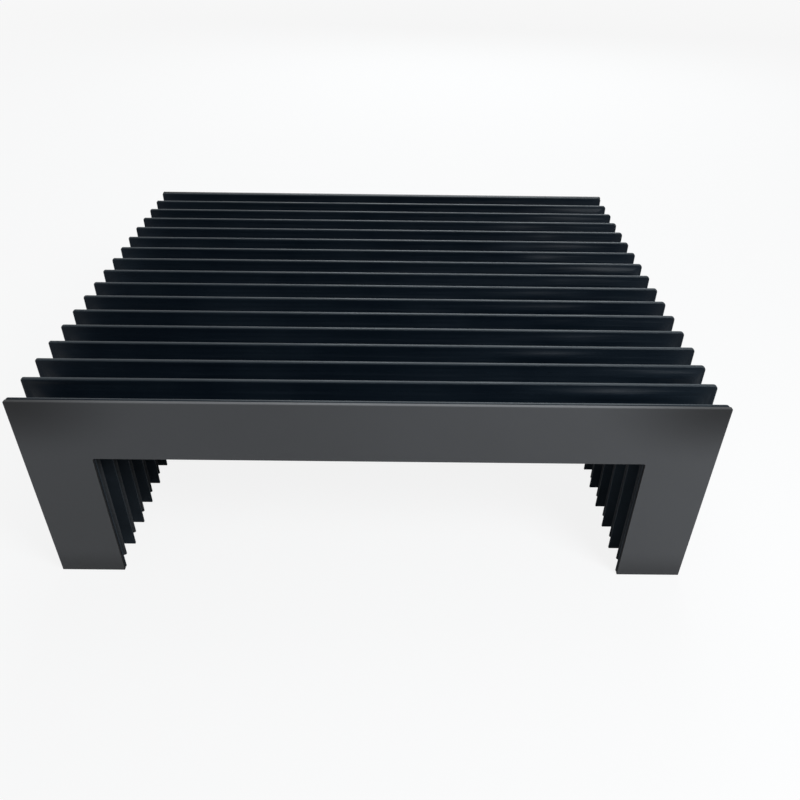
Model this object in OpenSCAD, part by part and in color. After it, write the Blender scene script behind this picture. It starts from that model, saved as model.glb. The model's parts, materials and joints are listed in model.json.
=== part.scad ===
// Bellows way cover: an inverted-U accordion cover for a machine slideway.
// A single pleated fabric skin is carried by U-shaped frames between two U-shaped end plates.
// Width runs along X, length and travel along Y, height along Z, with the feet on Z = 0.

/* [Cover] */
// Overall width, across both legs
cover_w = 300; // [200:5:500]
// Overall height, from the feet to the fold crests
cover_h = 100; // [70:5:200]
// Overall length, between the outer faces of the end plates
cover_l = 250; // [150:5:400]
// Width of the top bar and of each leg
bar_w = 30; // [20:1:45]

/* [End plates] */
// Thickness of an end plate
plate_t = 1.5; // [1:0.5:5]
// Radius of an end plate's two upper corners
plate_corner_r = 0.5; // [0.25:0.25:5]
// Radius in the two upper corners of an end plate's cut-out
plate_inner_r = 1; // [0.5:0.25:5]

/* [Stiffener frames] */
// Thickness of a frame
frame_t = 1; // [0.5:0.1:2]
// Radius of a frame's two upper corners
frame_corner_r = 1.5; // [0.5:0.25:5]
// Play between a frame's rim and the sleeve that grips it
sleeve_gap = 0.1; // [0.05:0.05:0.3]

/* [Pleated skin] */
// Number of pleats between the end plates
pleat_n = 16; // [8:1:20]
// Thickness of the coated fabric
skin_t = 0.4; // [0.3:0.05:0.8]
// Height of the valleys above the frames' inner edges
valley_rise = 2; // [1:0.5:8]
// Radius inside a valley's fold
valley_r = 0.5; // [0.3:0.1:1.5]
// Depth of the sleeve that the skin makes round a frame's rim
sleeve_d = 3; // [1:0.5:8]
// Height of the end hem, bonded to the back of the end plate, above the plate's inner edge
hem_rise = 6; // [2:0.5:12]
// Height of the skin's lower edge above the feet
skin_lift = 0.5; // [0.2:0.1:3]

/* [Hidden] */

// Half the width of a crest: half a frame, the play beside it and one ply of fabric
crest_hw = frame_t / 2 + sleeve_gap + skin_t;
// Spacing of the crests, from the length that the plates leave
pitch = (cover_l - 2 * (plate_t + crest_hw)) / pleat_n;
// Depth at which a frame's outer rim lies below the crest
rim_d = skin_t + sleeve_gap;
// Outer radius of the bends at a crest: the play leaves the fabric room to bend round the rim
crest_r = skin_t + 2 * sleeve_gap;
// Depth of the valleys and of the end hem below the crests
valley_d = bar_w - valley_rise;
hem_d = bar_w - hem_rise;
// Depth of the centre that a valley's fold is bent about
fold_d = valley_d - skin_t - valley_r;
// Slope of a panel against its frame, from the foot of the sleeve to a tangent of the fold
fold_run = pitch / 2 - crest_hw;
fold_drop = fold_d - sleeve_d;
panel_a = atan(fold_run / fold_drop) - asin(valley_r / norm([fold_run, fold_drop]));
// Shift of the inner face's bend at the sleeve's foot that keeps the fabric one thickness
sleeve_bend = skin_t * tan(panel_a / 2);
// Facets in a whole turn of the plates' and frames' corners
corner_fn = 48;
// Steps in the bend at a crest's edge and in a valley's fold
crest_steps = 3;
fold_steps = 6;
// Reach of the mitre cut, past everything that meets in a corner
mitre_d = bar_w;

plate_colour = [0.27, 0.28, 0.30];
skin_colour = [0.06, 0.06, 0.08];
frame_colour = [0.13, 0.13, 0.14];

function crest_y(i) = (i - pleat_n / 2) * pitch;
function two_digits(i) = str(i < 10 ? "0" : "", i);
function frame_name(i) = str("stiffener_frame_", two_digits(i));

// Bend at the edge of the crest at y, on the side given, from the flat of the crest to its sleeve
function crest_bend(y, side, radius) = [
  for (i = [0 : crest_steps])
    let (a = 90 * i / crest_steps)
      [y + side * (crest_hw - crest_r + radius * sin(a)), crest_r - radius * cos(a)]
];

// Fold of the valley at y, from the panel in front of it to the panel behind it
function valley_fold(y, radius) = [
  for (i = [0 : fold_steps])
    let (a = panel_a + (180 - 2 * panel_a) * i / fold_steps)
      [y - radius * cos(a), fold_d + radius * sin(a)]
];

// One face of the pleat behind crest i, as [y, depth] points from that crest to the next.
// The outer face has no inset, and the inner face lies one fabric thickness inside it.
function pleat_face(i, inset, foot_d) = concat(
  crest_bend(crest_y(i), 1, crest_r - inset),
  [[crest_y(i) + crest_hw - inset, foot_d]],
  valley_fold(crest_y(i + 0.5), valley_r + inset),
  [[crest_y(i + 1) - crest_hw + inset, foot_d]],
  reversed(crest_bend(crest_y(i + 1), -1, crest_r - inset))
);

function reversed(list) = [for (i = [len(list) - 1 : -1 : 0]) list[i]];

// The whole folded section: hem, pleats and hem along the outside, and back along the inside
function skin_section() = let (
  front = crest_y(0) - crest_hw,
  rear = crest_y(pleat_n) + crest_hw,
  outside = [for (i = [0 : pleat_n - 1]) each pleat_face(i, 0, sleeve_d)],
  inside = [for (i = [0 : pleat_n - 1]) each pleat_face(i, skin_t, sleeve_d + sleeve_bend)]
) concat(
  [[front, hem_d]],
  reversed(crest_bend(crest_y(0), -1, crest_r)),
  outside,
  crest_bend(crest_y(pleat_n), 1, crest_r),
  [[rear, hem_d], [rear - skin_t, hem_d]],
  reversed(crest_bend(crest_y(pleat_n), 1, crest_r - skin_t)),
  reversed(inside),
  crest_bend(crest_y(0), -1, crest_r - skin_t),
  [[front + skin_t, hem_d]]
);

// Draws an outline of X and Z upright, with its thickness centred on the plane at y
module upright(y, thickness) {
  translate([0, y + thickness / 2, 0])
    rotate([90, 0, 0])
      linear_extrude(thickness)
        children();
}

// Rectangle from the floor up to a height, with its two upper corners rounded
module arch_outline(width, height, corner_r) {
  translate([-width / 2, 0])
    square([width, height - corner_r]);
  translate([-width / 2 + corner_r, 0])
    square([width - 2 * corner_r, height]);
  for (side = [-1, 1])
    translate([side * (width / 2 - corner_r), height - corner_r])
      circle(corner_r, $fn = corner_fn);
}

// Inverted U with a rounded outline and a rounded cut-out
module plate_outline() {
  difference() {
    arch_outline(cover_w, cover_h, plate_corner_r);
    arch_outline(cover_w - 2 * bar_w, cover_h - bar_w, plate_inner_r);
  }
}

// Inverted U that fits inside the skin's sleeves, with the same cut-out as the plates
module frame_outline() {
  difference() {
    arch_outline(cover_w - 2 * rim_d, cover_h - rim_d, frame_corner_r);
    arch_outline(cover_w - 2 * bar_w, cover_h - bar_w, plate_inner_r);
  }
}

module end_plate(y) {
  color(plate_colour)
    upright(y, plate_t)
      plate_outline();
}

module stiffener_frame(i) {
  color(frame_colour)
    upright(crest_y(i), frame_t)
      frame_outline();
}

// The folded section run along X and cut to a mitre at both ends
module skin_top() {
  intersection() {
    translate([-cover_w / 2, 0, cover_h])
      rotate([90, 0, 90])
        linear_extrude(cover_w)
          polygon([for (p = skin_section()) [p[0], -p[1]]]);
    upright(0, cover_l)
      polygon([
        [-cover_w / 2, cover_h],
        [cover_w / 2, cover_h],
        [cover_w / 2 - mitre_d, cover_h - mitre_d],
        [-cover_w / 2 + mitre_d, cover_h - mitre_d]
      ]);
  }
}

// The same section run upright down the leg on -X and cut to the same mitre
module skin_leg() {
  intersection() {
    translate([-cover_w / 2, 0, skin_lift])
      linear_extrude(cover_h - skin_lift)
        polygon([for (p = skin_section()) [p[1], p[0]]]);
    upright(0, cover_l)
      polygon([
        [-cover_w / 2, skin_lift],
        [-cover_w / 2, cover_h],
        [-cover_w / 2 + mitre_d, cover_h - mitre_d],
        [-cover_w / 2 + mitre_d, skin_lift]
      ]);
  }
}

module front_end_plate() {
  end_plate(-cover_l / 2 + plate_t / 2);
}

module rear_end_plate() {
  end_plate(cover_l / 2 - plate_t / 2);
}

module front_end_frame() {
  stiffener_frame(0);
}

module rear_end_frame() {
  stiffener_frame(pleat_n);
}

module bellows_skin() {
  color(skin_colour)
    union() {
      skin_top();
      skin_leg();
      mirror([1, 0, 0])
        skin_leg();
    }
}

front_end_plate();
rear_end_plate();
bellows_skin();
front_end_frame();
rear_end_frame();
for (i = [1 : pleat_n - 1])
  stiffener_frame(i);
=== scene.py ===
import json
import math

import bpy
import numpy as np
from mathutils import Matrix, Vector

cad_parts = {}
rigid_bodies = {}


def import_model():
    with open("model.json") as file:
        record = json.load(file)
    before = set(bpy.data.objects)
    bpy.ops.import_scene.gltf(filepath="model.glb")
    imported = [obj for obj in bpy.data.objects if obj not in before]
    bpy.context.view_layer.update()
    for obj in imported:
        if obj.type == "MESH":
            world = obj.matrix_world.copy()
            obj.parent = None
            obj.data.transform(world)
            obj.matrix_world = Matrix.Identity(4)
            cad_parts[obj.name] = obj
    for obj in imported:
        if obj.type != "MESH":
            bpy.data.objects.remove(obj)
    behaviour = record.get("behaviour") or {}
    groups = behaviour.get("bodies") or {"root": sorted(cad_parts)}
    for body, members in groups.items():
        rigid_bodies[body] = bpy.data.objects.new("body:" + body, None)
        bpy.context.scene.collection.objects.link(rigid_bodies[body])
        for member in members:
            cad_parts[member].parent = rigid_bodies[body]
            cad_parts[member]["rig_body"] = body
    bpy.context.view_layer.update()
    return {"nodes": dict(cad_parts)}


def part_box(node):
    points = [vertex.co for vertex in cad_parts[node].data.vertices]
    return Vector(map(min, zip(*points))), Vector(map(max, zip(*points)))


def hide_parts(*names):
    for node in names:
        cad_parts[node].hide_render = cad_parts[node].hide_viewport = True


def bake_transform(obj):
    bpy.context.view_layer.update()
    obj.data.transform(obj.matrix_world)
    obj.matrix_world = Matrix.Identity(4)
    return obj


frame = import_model()

MM = 0.001

# Sizes taken from the frame
skin_low, skin_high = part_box("bellows_skin")
rim_low, rim_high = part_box("front_end_frame")
HALF_WIDTH = skin_high.x
TOP = skin_high.z
FOOT = skin_low.z
FRAME_T = rim_high.y - rim_low.y
FRAME_NODES = sorted(n for n in frame["nodes"] if n.startswith("stiffener_frame_"))
CREST_NODES = ["front_end_frame", *FRAME_NODES, "rear_end_frame"]
CREST_Y = [(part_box(n)[0].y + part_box(n)[1].y) / 2 for n in CREST_NODES]
PLEATS = len(CREST_NODES) - 1
PITCH = CREST_Y[1] - CREST_Y[0]

# Fabric of the skin, as folded: depths are below the crests
SKIN_T = 0.4 * MM
SLEEVE_GAP = TOP - rim_high.z - SKIN_T
CREST_HW = FRAME_T / 2 + SLEEVE_GAP + SKIN_T
CREST_R = SKIN_T + 2 * SLEEVE_GAP
SLEEVE_D = 3 * MM
VALLEY_D = 28 * MM
VALLEY_R = 0.5 * MM
HEM_D = 24 * MM
FOLD_D = VALLEY_D - SKIN_T - VALLEY_R
FOLD_RUN = PITCH / 2 - CREST_HW
FOLD_DROP = FOLD_D - SLEEVE_D
PANEL_A = math.atan(FOLD_RUN / FOLD_DROP) - math.asin(VALLEY_R / math.hypot(FOLD_RUN, FOLD_DROP))
SLEEVE_BEND = SKIN_T * math.tan(PANEL_A / 2)

# Corners of the U: crisp at a crest's left end, softer at its right end, and opening out below the rim
LEFT_CORNER_R = 1.1 * MM
RIGHT_CORNER_R = 1.9 * MM
CORNER_SPREAD = 0.2 * MM
MITRE_R = 0.4 * MM
MITRE_OPENING = 0.7
MITRE_MAX_R = 4 * MM

# How the fabric departs from flat panels: waves in the panels, swollen crests and slack below the crests
PANEL_WAVE = 0.35 * MM
WAVES = 7
WAVE_SIZES = (0.4, 1)
WAVE_FADE = 0.7
CREST_SWELL = 0.16 * MM
BULGES = 3
BULGE_X = (70 * MM, 148 * MM)
BULGE_REACH = (9 * MM, 30 * MM)
BULGE_SIZE = (0.15 * MM, 0.95 * MM)
BULGE_D = 8 * MM

# Seeds of a pleat's near side, each followed by the seed of its far side
WAVE_SEED = 1
BULGE_SEED = 3
SWELL_SEED = 5

# Groove between an end plate's top edge and the hem behind it, towards the ends
GROOVE = 0.5 * MM
GROOVE_D = 0.8 * MM
GROOVE_START = 0.5

# Steps of the pleat meshes
CREST_STEPS = 4
SLEEVE_STEPS = 3
PANEL_STEPS = 12
FOLD_STEPS = 4
HEM_STEPS = 6
LEG_STEPS = 18
CORNER_STEPS = 6
TOP_STEPS = 72
SHARP_ANGLE = math.radians(50)

# Edges of the plates and frames
PLATE_ARRIS = 0.25 * MM
FRAME_ARRIS = 0.12 * MM
ARRIS_ANGLE = math.radians(40)
ARRIS_SEGMENTS = 2
WELD = 0.01 * MM

# Finishes: a noise has a scale and a detail, and a bump has a strength and a depth
NOISE_RANGE = (0.3, 0.7)

FABRIC_SPECULAR = 0.1
FABRIC_TONES = ((0.0036, 0.0068, 0.0114), (0.0058, 0.0104, 0.0160))
# Painted highlight: a lighter colour along the tops of the crests
FABRIC_PAINTED_HIGHLIGHT = (0.033, 0.041, 0.048, 1)
FABRIC_ROUGHNESS = (0.38, 0.48)
FABRIC_CLOUD = (26.0, 4.0)
FABRIC_GRAIN = (1500.0, 2.0)
FABRIC_BUMP = (0.08, 0.2 * MM)
WEAVE_SCALE = 420.0
WEAVE_DISTORTION = 0.6
WEAVE_BUMP = (0.10, 0.2 * MM)
CREASE_SCALE = (16, 420, 1)
CREASE_NOISE = (1.0, 3.0)
CREASE_BUMP = (0.8, 0.4 * MM)

BARE_SPECULAR = 0.02
BARE_TONES = ((0.033, 0.035, 0.038), (0.043, 0.045, 0.049))
BARE_ROUGHNESS = 0.8
BARE_GRAIN = (900.0, 3.0)
BARE_BUMP = (0.25, 0.2 * MM)

COAT_SPECULAR = 0.12
COAT_TONES = ((0.065, 0.065, 0.067), (0.073, 0.073, 0.076))
COAT_ROUGHNESS = (0.42, 0.49)
COAT_CLOUD = (9.0, 3.0)
COAT_GRAIN = (2200.0, 2.0)
COAT_BUMP = (0.10, 0.2 * MM)
# Painted highlight: a lighter colour along the plates' top edge, from 0.1 to 0.5 mm below the top
COAT_PAINTED_HIGHLIGHT = (0.118, 0.118, 0.121, 1)
PAINTED_HIGHLIGHT_D = (0.1 * MM, 0.5 * MM)
# Painted shade: the coat is darkened towards the outer upper corners and towards the feet
PAINTED_CORNER_SHADE = 0.34
PAINTED_CORNER_SHADE_REACH = (60 * MM, 32 * MM)
PAINTED_FOOT_SHADE = 0.64
PAINTED_FOOT_SHADE_REACH = 16 * MM
# Painted shade: faces of the plates that face sideways are coloured near black, and made matt
PAINTED_SHADE_FACING = (0.6, 0.9)
PAINTED_SIDE_SHADE = (0.008, 0.008, 0.009, 1)
SIDE_ROUGHNESS = 0.9

PLASTIC_SPECULAR = 0.02
PLASTIC_TONES = ((0.019, 0.024, 0.030), (0.025, 0.032, 0.040))
PLASTIC_ROUGHNESS = (0.6, 0.7)
PLASTIC_CLOUD = (60.0, 3.0)
PLASTIC_GRAIN = (1800.0, 2.0)
PLASTIC_BUMP = (0.12, 0.2 * MM)

# Inputs and output of a mix node for each kind of value
MIX_SOCKETS = {"FLOAT": (2, 3, 0), "RGBA": (6, 7, 2)}

# Camera, fitted to the photograph's corners in its frame of 800 by 800
IMAGE_PX = 800
FOCAL_PX = 736.9
SENSOR_MM = 36
CLIP_START = 0.01
CAMERA_AT = (0.01149, -0.37102, 0.27574)
CAMERA_YAW = math.radians(0.329)
CAMERA_PITCH = math.radians(35.097)
CAMERA_ROLL = math.radians(0.788)

# Studio: the floor's glow is given near the object and where it meets the backdrop
BACKDROP = (0.93, 0.93, 0.93, 1)
SKY = (0.95, 0.97, 1, 1)
SKY_STRENGTH = 0.135
FLOOR_HALF = 6.0
FLOOR_COLOUR = (0.8, 0.8, 0.8, 1)
FLOOR_SHADE = (0.10, 0.10, 0.10, 1)
FLOOR_GLOW = (0.935, 0.989)
FLOOR_BLEND = (0.4, 2.4)
LAMPS = {
    "overhead": {
        "at": (0.10, 0.45, 1.00), "aim": (0, 0, 0.08),
        "size": (0.8, 0.6), "power": 3.0, "colour": (1, 1, 1),
    },
    "behind": {
        "at": (0.15, 1.10, 0.72), "aim": (0, 0, 0.08),
        "size": (0.8, 0.7), "power": 7.4, "colour": (0.85, 0.95, 1),
    },
    "right": {
        "at": (0.36, -0.42, 0.50), "aim": (0, -0.05, 0.08),
        "size": (0.25, 0.25), "power": 3.4, "colour": (0.90, 0.96, 1),
    },
    "left": {
        "at": (-1.30, -1.10, 0.25), "aim": (0.13, 0, 0.05),
        "size": (0.4, 0.4), "power": 2.8, "colour": (0.80, 0.92, 1),
    },
}


def steps(start, end, count):
    """Points that divide the line from start to end, without its first point."""
    start, end = np.array(start), np.array(end)
    return [tuple(start + (end - start) * i / count) for i in range(1, count + 1)]


def crest_half(inset):
    """Half a crest as (run, depth) points, from its middle over the bend."""
    bend = CREST_R - inset
    flat = CREST_HW - CREST_R
    turn = np.linspace(0, math.pi / 2, CREST_STEPS + 1)
    return [(0.0, inset)] + [(flat + bend * math.sin(a), CREST_R - bend * math.cos(a)) for a in turn]


def half_pleat(inset):
    """One side of a pleat as (run, depth) points, from the crest's middle to the valley's middle."""
    points = crest_half(inset)
    foot = SLEEVE_D + (SLEEVE_BEND if inset else 0)
    points += steps(points[-1], (CREST_HW - inset, foot), SLEEVE_STEPS)
    bend = VALLEY_R + inset
    turn = np.linspace(PANEL_A, math.pi / 2, FOLD_STEPS + 1)
    fold = [(PITCH / 2 - bend * math.cos(a), FOLD_D + bend * math.sin(a)) for a in turn]
    return points + steps(points[-1], fold[0], PANEL_STEPS) + fold[1:]


def hem(inset):
    """The hem behind an end plate as (run, depth) points, from its lower edge to the crest's middle."""
    crest = crest_half(inset)
    down = steps(crest[-1], (crest[-1][0], HEM_D), HEM_STEPS)
    return [(-run, depth) for run, depth in reversed(crest + down)]


def mirrored(points):
    """The same (run, depth) points on the pleat's other side, in reverse."""
    return [(PITCH - run, depth) for run, depth in reversed(points)]


def pleat_section(number, inset):
    """One face of a pleat's section as an array of (run, depth), with the hem of an end pleat."""
    near = half_pleat(inset)
    points = near + mirrored(near[:-1])
    if number == 1:
        points = hem(inset)[:-1] + points
    if number == PLEATS:
        points += mirrored(hem(inset)[:-1])
    return np.array(points)


def corner_radius(crest, side):
    """Outer radius of a crest's corner, at its left end for side -1 and its right end for side 1."""
    middle = LEFT_CORNER_R if side < 0 else RIGHT_CORNER_R
    draw = np.random.default_rng([crest, side + 1])
    return middle + CORNER_SPREAD * draw.uniform(-1, 1)


def path(depth, left_r, right_r):
    """The inverted U at a depth below the crests, as (x, z) points from the left foot to the right one."""
    x, z = HALF_WIDTH - depth, TOP - depth
    opened = min(MITRE_R + MITRE_OPENING * depth, MITRE_MAX_R)
    left_r, right_r = max(left_r - depth, opened), max(right_r - depth, opened)
    leg = np.linspace(0, 1, LEG_STEPS, endpoint=False)
    top = np.linspace(0, 1, TOP_STEPS, endpoint=False)
    turn = np.linspace(0, math.pi / 2, CORNER_STEPS, endpoint=False)
    start, end = -x + left_r, x - right_r
    left_leg = np.stack([-x + 0 * leg, FOOT + (z - left_r - FOOT) * leg], 1)
    left = np.stack([start - left_r * np.cos(turn), z - left_r * (1 - np.sin(turn))], 1)
    bar = np.stack([start + (end - start) * top, z + 0 * top], 1)
    right = np.stack([end + right_r * np.sin(turn), z - right_r * (1 - np.cos(turn))], 1)
    right_leg = np.stack([x + 0 * leg, z - right_r - (z - right_r - FOOT) * leg], 1)
    return np.concatenate([left_leg, left, bar, right, right_leg, [[x, FOOT]]])


def along_path():
    """The length of the U from the left foot to each of the path's points, along the crests."""
    points = path(0, LEFT_CORNER_R, RIGHT_CORNER_R)
    return np.concatenate([[0], np.cumsum(np.linalg.norm(np.diff(points, axis=0), axis=1))])


def wave(seed, share):
    """A smooth wave from -1 to 1 along share, which runs from 0 to 1, the same for the same seed."""
    draw = np.random.default_rng(seed)
    count = np.arange(1, WAVES + 1)
    phase = draw.uniform(0, 2 * math.pi, WAVES)
    size = draw.uniform(*WAVE_SIZES, WAVES) / count ** WAVE_FADE
    turns = 2 * math.pi * np.outer(count, share) + phase[:, None]
    return size @ np.sin(turns) / size.sum()


def bulges(seed, x):
    """Slack fabric that stands out under a crest, at a few places near its right end."""
    draw = np.random.default_rng(seed)
    out = np.zeros(len(x))
    for _ in range(BULGES):
        at, reach, size = (draw.uniform(*span) for span in (BULGE_X, BULGE_REACH, BULGE_SIZE))
        out += size * np.exp(-(((x - at) / reach) ** 2))
    return out


def stand_out(number, far, inset, run, depth, x, share):
    """How far a panel stands out from its flat form at one point of its section, all along the U."""
    deep = np.clip((depth - SLEEVE_D) / FOLD_DROP, 0, 1)
    out = wave([number, WAVE_SEED + far], share) * PANEL_WAVE * math.sin(math.pi * deep)
    under = np.clip((depth - CREST_R) / (BULGE_D - CREST_R), 0, 1)
    out += bulges([number, BULGE_SEED + far], x) * math.sin(math.pi * under) ** 2
    if not inset and depth < SLEEVE_D:
        crest_run = PITCH - run if far else run
        fade = math.cos(math.pi / 2 * depth / SLEEVE_D) * min(crest_run / CREST_HW, 1)
        out += np.clip(wave([number, SWELL_SEED + far], share), 0, 1) * CREST_SWELL * fade
    return out


def set_back(depth, x):
    """How far a hem's bend stands back from its plate, which leaves a groove towards the ends."""
    end = np.clip((abs(x) / HALF_WIDTH - GROOVE_START) / (1 - GROOVE_START), 0, 1)
    return GROOVE * end ** 2 * max(1 - depth / GROOVE_D, 0) ** 2


def pleat_face(number, inset):
    """Points of one face of a pleat, as an array of [path step, section step, xyz]."""
    share = along_path()
    share /= share[-1]
    columns = []
    for run, depth in pleat_section(number, inset):
        far = run > PITCH / 2
        crest = number if far else number - 1
        x, z = path(depth, corner_radius(crest, -1), corner_radius(crest, 1)).T
        if run < 0:
            shift = set_back(depth, x)
        elif run > PITCH:
            shift = -set_back(depth, x)
        else:
            shift = stand_out(number, far, inset, run, depth, x, share) * (-1 if far else 1)
        columns.append(np.stack([x, CREST_Y[number - 1] + run + shift, z], 1))
    return np.stack(columns, 1)


def shell_faces(long, wide):
    """Quads of a closed shell of two grids of points, the outer one first."""
    inner = long * wide
    faces = []
    for i in range(long - 1):
        for j in range(wide - 1):
            a, b = i * wide + j, (i + 1) * wide + j
            faces.append((a, a + 1, b + 1, b))
            faces.append((inner + a, inner + b, inner + b + 1, inner + a + 1))
        a, b = i * wide, (i + 1) * wide
        faces.append((a, b, inner + b, inner + a))
        a, b = a + wide - 1, b + wide - 1
        faces.append((b, a, inner + a, inner + b))
    last = (long - 1) * wide
    for j in range(wide - 1):
        faces.append((j + 1, j, inner + j, inner + j + 1))
        faces.append((last + j, last + j + 1, inner + last + j + 1, inner + last + j))
    return faces


def pleat_mesh(number):
    """A closed shell of one pleat and its flat size, with a map of the cloth and the painted highlight
    along its crests.
    """
    outer, inner = pleat_face(number, 0), pleat_face(number, SKIN_T)
    long, wide = outer.shape[:2]
    section = pleat_section(number, 0)
    along = along_path()
    across = np.concatenate([[0], np.cumsum(np.linalg.norm(np.diff(section, axis=0), axis=1))])

    mesh = bpy.data.meshes.new(f"skin_pleat_{number:02d}")
    points = np.concatenate([outer.reshape(-1, 3), inner.reshape(-1, 3)])
    faces = shell_faces(long, wide)
    mesh.from_pydata(points.tolist(), [], faces)
    inside = np.array(faces).min(axis=1) >= long * wide
    mesh.polygons.foreach_set("material_index", inside.astype(np.int32))
    cloth = np.tile(np.stack([np.repeat(along, wide), np.tile(across, long)], 1), (2, 1))
    corner = np.zeros(len(mesh.loops), np.int32)
    mesh.loops.foreach_get("vertex_index", corner)
    mesh.uv_layers.new(name="cloth").uv.foreach_set("vector", cloth[corner].astype(np.float32).ravel())
    run, depth = section.T
    # Painted highlight: the tops of the crests, which the fabric colours lighter
    painted_highlit = np.clip(1 - depth / CREST_R, 0, 1) * (run >= 0) * (run <= PITCH)
    painted_highlight = np.tile(painted_highlit, 2 * long).astype(np.float32)
    mesh.attributes.new("painted_highlight", "FLOAT", "POINT").data.foreach_set("value", painted_highlight)
    mesh.shade_smooth()
    mesh.set_sharp_from_angle(angle=SHARP_ANGLE)
    return mesh, (float(along[-1]), float(across[-1]))


def plug(tree, socket, value):
    """Links a shader socket to an output, or sets it to a value."""
    if isinstance(value, bpy.types.NodeSocket):
        tree.links.new(value, socket)
    else:
        socket.default_value = value


def node(tree, kind, inputs, **settings):
    """A new shader node, with its settings and its inputs."""
    made = tree.nodes.new(kind)
    for key, value in settings.items():
        setattr(made, key, value)
    for socket, value in inputs.items():
        plug(tree, made.inputs[socket], value)
    return made


def material(name, specular):
    """A new material with its node tree, its shader and the place on the object."""
    made = bpy.data.materials.new(name)
    made.use_nodes = True
    tree = made.node_tree
    shader = tree.nodes["Principled BSDF"]
    plug(tree, shader.inputs["Specular IOR Level"], specular)
    place = node(tree, "ShaderNodeTexCoord", {}).outputs["Object"]
    return made, tree, shader, place


def finish(tree, shader, colour, roughness, normal):
    """Gives a material's shader its colour, its roughness and its relief."""
    plug(tree, shader.inputs["Base Color"], colour)
    plug(tree, shader.inputs["Roughness"], roughness)
    plug(tree, shader.inputs["Normal"], normal)


def noise(tree, place, scale, detail):
    """A noise on the object, mostly within the noise range."""
    inputs = {"Vector": place, "Scale": scale, "Detail": detail}
    return node(tree, "ShaderNodeTexNoise", inputs).outputs["Fac"]


def tone(tree, source, dark, light):
    """A colour that drifts from dark to light with a noise."""
    made = node(tree, "ShaderNodeValToRGB", {"Fac": source})
    for element, position, colour in zip(made.color_ramp.elements, NOISE_RANGE, (dark, light)):
        element.position = position
        element.color = (*colour, 1)
    return made.outputs["Color"]


def ranged(tree, source, start, end, low, high):
    """A factor from start to end, turned smoothly into one from low to high."""
    inputs = {"Value": source, "From Min": start, "From Max": end, "To Min": low, "To Max": high}
    return node(tree, "ShaderNodeMapRange", inputs, interpolation_type="SMOOTHSTEP").outputs["Result"]


def mix(tree, kind, share, first, second, blend="MIX"):
    """A share of the second number or colour, blended into the first."""
    a, b, result = MIX_SOCKETS[kind]
    inputs = {0: share, a: first, b: second}
    return node(tree, "ShaderNodeMix", inputs, data_type=kind, blend_type=blend).outputs[result]


def relief(tree, height, bump, under=None):
    """A bump of a strength and a depth, on top of the one under it."""
    strength, depth = bump
    inputs = {"Height": height, "Strength": strength, "Distance": depth}
    if under:
        inputs["Normal"] = under
    return node(tree, "ShaderNodeBump", inputs).outputs["Normal"]


def math_node(tree, operation, first, second=0.0):
    """One step of arithmetic."""
    return node(tree, "ShaderNodeMath", {0: first, 1: second}, operation=operation).outputs["Value"]


def fabric():
    """Black coated fabric with a faint weave, creased along the folds, with a painted highlight along the
    crests.
    """
    made, tree, shader, place = material("coated_fabric", FABRIC_SPECULAR)
    cloth = node(tree, "ShaderNodeUVMap", {}, uv_map="cloth").outputs["UV"]
    threads = []
    for direction in ("X", "Y"):
        inputs = {"Vector": cloth, "Scale": WEAVE_SCALE, "Distortion": WEAVE_DISTORTION}
        bands = node(tree, "ShaderNodeTexWave", inputs, bands_direction=direction)
        threads.append(bands.outputs["Fac"])
    weave = math_node(tree, "MULTIPLY", *threads)
    cloud = noise(tree, place, *FABRIC_CLOUD)
    grain = noise(tree, place, *FABRIC_GRAIN)
    drawn = node(tree, "ShaderNodeMapping", {"Vector": cloth, "Scale": CREASE_SCALE}).outputs["Vector"]
    creases = noise(tree, drawn, *CREASE_NOISE)
    # Painted highlight: the crest tops are mixed towards a lighter colour
    painted_highlight = node(tree, "ShaderNodeAttribute", {}, attribute_name="painted_highlight").outputs["Fac"]
    colour = mix(tree, "RGBA", painted_highlight, tone(tree, cloud, *FABRIC_TONES), FABRIC_PAINTED_HIGHLIGHT)
    rough = ranged(tree, cloud, *NOISE_RANGE, *FABRIC_ROUGHNESS)
    creased = relief(tree, creases, CREASE_BUMP)
    grained = relief(tree, grain, FABRIC_BUMP, creased)
    finish(tree, shader, colour, rough, relief(tree, weave, WEAVE_BUMP, grained))
    return made


def bare_fabric():
    """The inner side of the same fabric, matt and without the coat."""
    made, tree, shader, place = material("bare_fabric", BARE_SPECULAR)
    grain = noise(tree, place, *BARE_GRAIN)
    colour = tone(tree, grain, *BARE_TONES)
    finish(tree, shader, colour, BARE_ROUGHNESS, relief(tree, grain, BARE_BUMP))
    return made


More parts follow.
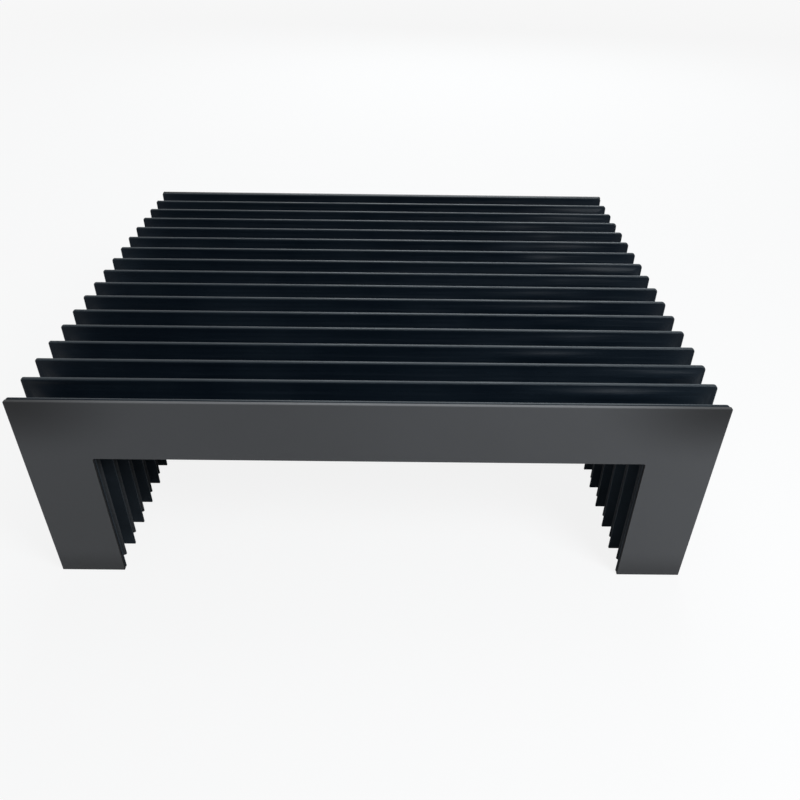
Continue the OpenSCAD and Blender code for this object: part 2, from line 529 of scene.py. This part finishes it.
def coat():
    """Satin dark grey coat on sheet steel, with painted shade at the outer upper corners, the feet and the
    side-facing faces, and a painted highlight along the top.
    """
    made, tree, shader, place = material("satin_coat", COAT_SPECULAR)
    normal = node(tree, "ShaderNodeTexCoord", {}).outputs["Normal"]
    cloud = noise(tree, place, *COAT_CLOUD)
    grain = noise(tree, place, *COAT_GRAIN)
    axes = node(tree, "ShaderNodeSeparateXYZ", {"Vector": place}).outputs
    # Painted shade: darker towards the outer upper corners and towards the feet
    inward = math_node(tree, "SUBTRACT", HALF_WIDTH, math_node(tree, "ABSOLUTE", axes["X"]))
    below = math_node(tree, "SUBTRACT", TOP, axes["Z"])
    ways = [math_node(tree, "DIVIDE", way, reach) for way, reach in zip((inward, below), PAINTED_CORNER_SHADE_REACH)]
    squares = [math_node(tree, "MULTIPLY", way, way) for way in ways]
    corner = math_node(tree, "SQRT", math_node(tree, "ADD", *squares))
    painted_corner_shade = ranged(tree, corner, 0.0, 1.0, PAINTED_CORNER_SHADE, 1.0)
    painted_foot_shade = ranged(tree, axes["Z"], 0.0, PAINTED_FOOT_SHADE_REACH, PAINTED_FOOT_SHADE, 1.0)
    painted_shade = math_node(tree, "MULTIPLY", painted_corner_shade, painted_foot_shade)
    # Painted highlight: lighter along the top edge
    painted_highlight = ranged(tree, below, *PAINTED_HIGHLIGHT_D, 1.0, 0.0)
    painted_highlit = mix(tree, "RGBA", painted_highlight, tone(tree, cloud, *COAT_TONES), COAT_PAINTED_HIGHLIGHT)
    shaded = mix(tree, "RGBA", 1.0, painted_highlit, painted_shade, "MULTIPLY")
    # Painted shade: faces that face sideways are coloured near black
    facing = node(tree, "ShaderNodeSeparateXYZ", {"Vector": normal}).outputs["X"]
    side = ranged(tree, math_node(tree, "ABSOLUTE", facing), *PAINTED_SHADE_FACING, 0.0, 1.0)
    colour = mix(tree, "RGBA", side, shaded, PAINTED_SIDE_SHADE)
    satin = ranged(tree, cloud, *NOISE_RANGE, *COAT_ROUGHNESS)
    rough = mix(tree, "FLOAT", side, satin, SIDE_ROUGHNESS)
    finish(tree, shader, colour, rough, relief(tree, grain, COAT_BUMP))
    return made


def sheet_plastic():
    """Matt black sheet plastic with a fine grain."""
    made, tree, shader, place = material("sheet_plastic", PLASTIC_SPECULAR)
    cloud = noise(tree, place, *PLASTIC_CLOUD)
    grain = noise(tree, place, *PLASTIC_GRAIN)
    colour = tone(tree, cloud, *PLASTIC_TONES)
    rough = ranged(tree, cloud, *NOISE_RANGE, *PLASTIC_ROUGHNESS)
    finish(tree, shader, colour, rough, relief(tree, grain, PLASTIC_BUMP))
    return made


def dress(name, coating, arris):
    """Gives a node of the frame its material and slightly broken edges."""
    obj = frame["nodes"][name]
    obj.data.materials.clear()
    obj.data.materials.append(coating)
    weld = obj.modifiers.new("weld", "WELD")
    weld.merge_threshold = WELD
    bevel = obj.modifiers.new("arris", "BEVEL")
    bevel.width = arris
    bevel.segments = ARRIS_SEGMENTS
    bevel.limit_method = "ANGLE"
    bevel.angle_limit = ARRIS_ANGLE
    normals = obj.modifiers.new("normals", "WEIGHTED_NORMAL")
    normals.keep_sharp = True


def add(name, data):
    """A new object in the scene."""
    obj = bpy.data.objects.new(name, data)
    bpy.context.scene.collection.objects.link(obj)
    return obj


def make_pleat(number, outside, inside):
    """One pleat of the skin, which runs between the crests at its two ends."""
    mesh, flat = pleat_mesh(number)
    mesh.materials.append(outside)
    mesh.materials.append(inside)
    obj = add(mesh.name, mesh)
    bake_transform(obj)
    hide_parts("bellows_skin")


def make_camera():
    """The photograph's view."""
    data = bpy.data.cameras.new("camera")
    data.sensor_width = SENSOR_MM
    data.lens = SENSOR_MM * FOCAL_PX / IMAGE_PX
    data.clip_start = CLIP_START
    camera = add("camera", data)
    ahead = Vector((
        math.sin(CAMERA_YAW) * math.cos(CAMERA_PITCH),
        math.cos(CAMERA_YAW) * math.cos(CAMERA_PITCH),
        -math.sin(CAMERA_PITCH),
    ))
    level = Vector((math.cos(CAMERA_YAW), -math.sin(CAMERA_YAW), 0))
    upright = level.cross(ahead)
    right = math.cos(CAMERA_ROLL) * level + math.sin(CAMERA_ROLL) * upright
    up = math.cos(CAMERA_ROLL) * upright - math.sin(CAMERA_ROLL) * level
    turned = Matrix((right, up, -ahead)).transposed().to_4x4()
    camera.matrix_world = Matrix.Translation(CAMERA_AT) @ turned
    bpy.context.scene.camera = camera


def show(tree, output, light, shown):
    """Links the output to one shader for light and to another where it is seen, mirrored ones included."""
    rays = node(tree, "ShaderNodeLightPath", {}).outputs
    direct = math_node(tree, "MAXIMUM", rays["Is Camera Ray"], rays["Is Glossy Ray"])
    seen = math_node(tree, "MAXIMUM", direct, rays["Is Transmission Ray"])
    inputs = {0: seen, 1: light.outputs[0], 2: shown.outputs[0]}
    mixed = node(tree, "ShaderNodeMixShader", inputs)
    tree.links.new(mixed.outputs[0], tree.nodes[output].inputs["Surface"])


def make_world():
    """A weak light from all round, with a pale backdrop where it is seen."""
    world = bpy.data.worlds.new("studio")
    bpy.context.scene.world = world
    world.use_nodes = True
    tree = world.node_tree
    light = tree.nodes["Background"]
    plug(tree, light.inputs["Color"], SKY)
    plug(tree, light.inputs["Strength"], SKY_STRENGTH)
    shown = node(tree, "ShaderNodeBackground", {"Color": BACKDROP, "Strength": 1.0})
    show(tree, "World Output", light, shown)


def make_floor():
    """A pale floor that keeps a faint shadow and runs out into the backdrop."""
    mesh = bpy.data.meshes.new("floor")
    outline = [(x * FLOOR_HALF, y * FLOOR_HALF, 0) for x, y in ((-1, -1), (1, -1), (1, 1), (-1, 1))]
    mesh.from_pydata(outline, [], [(0, 1, 2, 3)])
    floor = add("floor", mesh)
    surface = bpy.data.materials.new("pale_floor")
    surface.use_nodes = True
    tree = surface.node_tree
    tree.nodes.remove(tree.nodes["Principled BSDF"])
    plain = node(tree, "ShaderNodeBsdfDiffuse", {"Color": FLOOR_COLOUR})
    shaded = node(tree, "ShaderNodeBsdfDiffuse", {"Color": FLOOR_SHADE})
    place = node(tree, "ShaderNodeTexCoord", {}).outputs["Object"]
    away = node(tree, "ShaderNodeVectorMath", {0: place}, operation="LENGTH").outputs["Value"]
    strength = ranged(tree, away, *FLOOR_BLEND, *FLOOR_GLOW)
    glow = node(tree, "ShaderNodeEmission", {"Color": BACKDROP, "Strength": strength})
    pale = node(tree, "ShaderNodeAddShader", {0: shaded.outputs[0], 1: glow.outputs[0]})
    show(tree, "Material Output", plain, pale)
    mesh.materials.append(surface)


def make_lamp(name, at, aim, size, power, colour):
    """A rectangular softbox at a place, aimed at a point."""
    data = bpy.data.lights.new(name, "AREA")
    data.shape = "RECTANGLE"
    data.size, data.size_y = size
    data.energy = power
    data.color = colour
    lamp = add(name, data)
    lamp.visible_camera = False
    lamp.location = at
    lamp.rotation_mode = "QUATERNION"
    lamp.rotation_quaternion = (Vector(aim) - Vector(at)).to_track_quat("-Z", "Y")


make_camera()
make_world()
make_floor()
for name, values in LAMPS.items():
    make_lamp(name, **values)
steel = coat()
for name in ("front_end_plate", "rear_end_plate"):
    dress(name, steel, PLATE_ARRIS)
plastic = sheet_plastic()
for name in CREST_NODES:
    dress(name, plastic, FRAME_ARRIS)
outside, inside = fabric(), bare_fabric()
for number in range(1, PLEATS + 1):
    make_pleat(number, outside, inside)
bpy.context.scene.view_settings.view_transform = "Standard"
